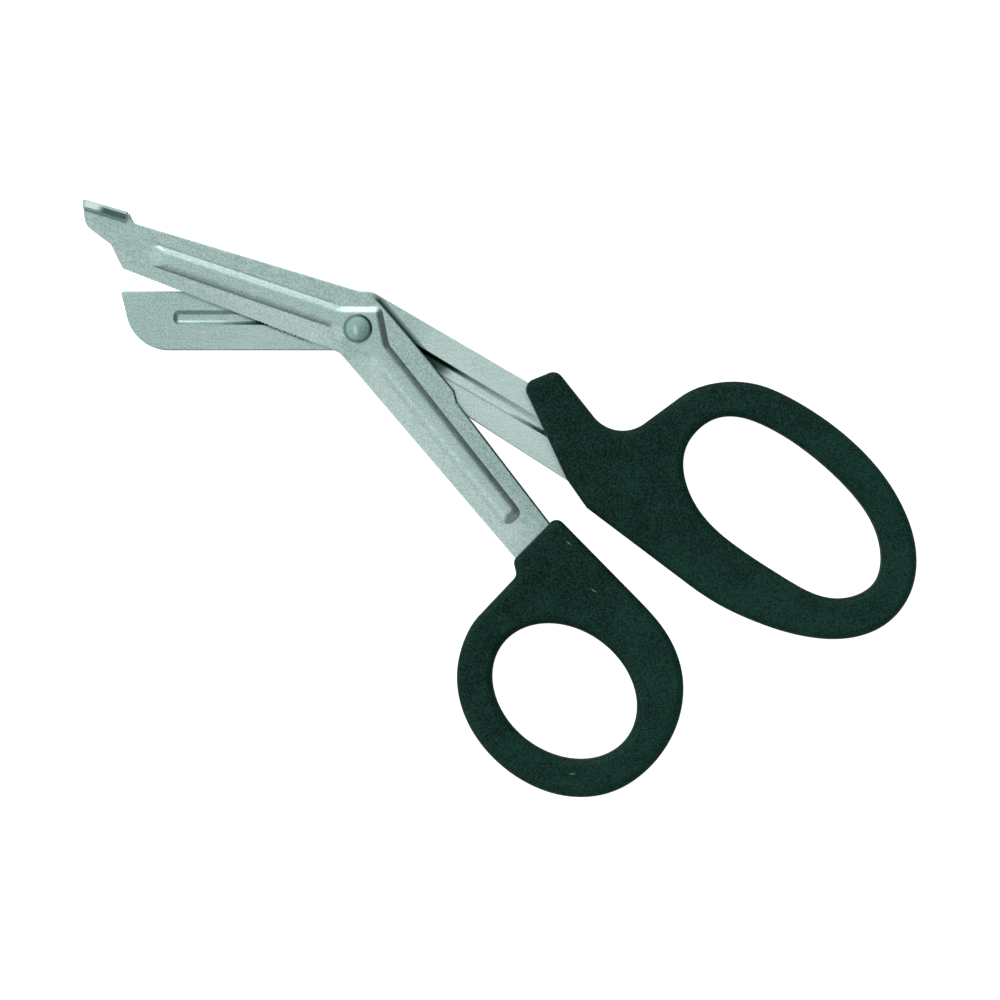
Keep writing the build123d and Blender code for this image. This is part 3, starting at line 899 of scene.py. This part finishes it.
@dataclass
class PhotoCamera:
    """The camera straight above the table, framed as in the photograph.

    Attributes:
        metres_per_pixel: Scale of the photograph at the levers.
        rivet_pixel: Where the rivet's axis is in the photograph.
        middle_pixel: The photograph's middle, across and down.
        distance: Height of the camera above the levers.
        sensor: Width of the sensor.
        view_depth: How far the camera sees, in times its distance.
    """

    metres_per_pixel: float = 0.209 * MM
    rivet_pixel: tuple[float, float] = (358.0, 329.0)
    middle_pixel: float = 500.0
    distance: float = 1.5
    sensor: float = 36.0 * MM
    view_depth: float = 4.0

    def build(self) -> None:
        """Adds the camera and makes it the scene's."""
        across = (self.middle_pixel - self.rivet_pixel[0]) * self.metres_per_pixel
        up = (self.rivet_pixel[1] - self.middle_pixel) * self.metres_per_pixel
        data = bpy.data.cameras.new("photo_camera")
        data.sensor_width = self.sensor / MM
        width = 2 * self.middle_pixel * self.metres_per_pixel
        data.lens = data.sensor_width * self.distance / width
        data.clip_end = self.view_depth * self.distance
        camera = bpy.data.objects.new("photo_camera", data)
        camera.location = PIVOT + Vector((across, up, self.distance))
        bpy.context.scene.collection.objects.link(camera)
        bpy.context.scene.camera = camera


@dataclass(frozen=True)
class SoftBox:
    """One soft light of the tent.

    Attributes:
        turn: Its azimuth, in degrees from +X.
        rise: Its elevation, in degrees.
        strength: Its brightness in the middle.
        focus: How quickly it fades to the sides, as a power of the cosine.
    """

    turn: float
    rise: float
    strength: float
    focus: float

    def level(self, bench: Bench, place: bpy.types.NodeSocket) -> Shade:
        """Brightness of the light over the sky."""
        facing = bench.maths("MAXIMUM", bench.towards(place, aim(self.turn, self.rise)), 0.0)
        return facing ** self.focus * self.strength


@dataclass
class Studio:
    """A white ground under a tent whose left half is lit, with soft lights at the top and the lower right.

    Attributes:
        floor_size: Side of the floor.
        floor_gap: How far the floor lies under the handles, so that their faces don't coincide.
        floor_grey: How much light the floor gives back.
        floor_glow: Light that only the camera sees, so that the floor shows white.
        lit_turn: Azimuth of the tent's lit half, in degrees from +X.
        lit_rise: Its elevation, in degrees.
        tent_strength: Brightness of the lit half.
        tent_levels: Share of that brightness, from the side away from the lit half to its middle.
        lights: The tent's lights.
    """

    floor_size: float = 4.0
    floor_gap: float = 0.02 * MM
    floor_grey: float = 0.72
    floor_glow: float = 0.96
    lit_turn: float = 150.0
    lit_rise: float = 10.0
    tent_strength: float = 1.07
    tent_levels: tuple[tuple[float, float], ...] = ((0.44, 0.09), (0.56, 1.0))
    lights: tuple[SoftBox, ...] = (
        SoftBox(turn=95.0, rise=30.0, strength=2.0, focus=20.0),
        SoftBox(turn=310.0, rise=12.0, strength=0.5, focus=4.0),
    )

    def build(self) -> None:
        """Adds the floor and the tent."""
        self._floor()
        self._tent()

    def _floor(self) -> None:
        """A white floor that shows white and keeps the shadow."""
        bpy.ops.object.select_all(action="DESELECT")
        bpy.ops.mesh.primitive_plane_add(size=self.floor_size, location=(0.0, 0.0, -self.floor_gap))
        floor = bpy.context.active_object
        floor.name = "floor"
        material = bpy.data.materials.new("white_floor")
        material.use_nodes = True
        bench = Bench(material.node_tree)
        matt = bench.node("ShaderNodeBsdfDiffuse", None, {"Color": (*[self.floor_grey] * 3, 1.0)})
        glow = bench.node("ShaderNodeEmission", None, {"Strength": self._seen(bench) * self.floor_glow})
        both = bench.node("ShaderNodeAddShader", None, {0: matt.outputs[0], 1: glow.outputs[0]})
        bench.node("ShaderNodeOutputMaterial", None, {"Surface": both.outputs[0]})
        Piece.dress(floor, material)

    def _seen(self, bench: Bench) -> Shade:
        """One for rays from the camera."""
        return Shade(bench, bench.node("ShaderNodeLightPath").outputs["Is Camera Ray"])

    def _tent(self) -> None:
        """The tent with its lights, that the camera sees as white."""
        world = bpy.data.worlds.new("tent")
        bpy.context.scene.world = world
        world.use_nodes = True
        bench = Bench(world.node_tree)
        place = bench.node("ShaderNodeTexCoord").outputs["Generated"]
        facing = bench.towards(place, aim(self.lit_turn, self.lit_rise))
        half_facing = facing * MIDDLE + MIDDLE
        level = bench.ramp(half_facing, self.tent_levels) * self.tent_strength
        level = sum((light.level(bench, place) for light in self.lights), level)
        strength = bench.maths("MAXIMUM", level, self._seen(bench))
        ground = bench.node("ShaderNodeBackground", None, {"Strength": strength})
        bench.node("ShaderNodeOutputWorld", None, {"Surface": ground.outputs[0]})


def report(title: str, pieces: list[bpy.types.Object]) -> None:
    """Writes each piece of a sub-assembly to the log."""
    for piece in pieces:
        log.info("%s: %s, %d faces", title, piece.name, len(piece.data.polygons))


def main() -> None:
    """Builds the scene in order."""
    logging.basicConfig(level=logging.INFO, format="%(name)s %(message)s")
    bpy.context.scene.view_settings.view_transform = "Standard"
    PhotoCamera().build()
    Studio().build()
    front, back = FRONT_STEEL.make(), BACK_STEEL.make()
    green = HANDLE_GREEN.make()
    report("thumb lever", StampedLever("thumb_blade").build(front))
    report("finger lever", StampedLever("finger_blade").build(back))
    report("rivet", Rivet().build(RIVET_STEEL.make()))
    report("thumb handle", MouldedHandle("thumb_handle", Body.THUMB).build(green))
    report("finger handle", MouldedHandle("finger_handle", Body.FINGER).build(green))


if __name__ == "__main__":
    main()
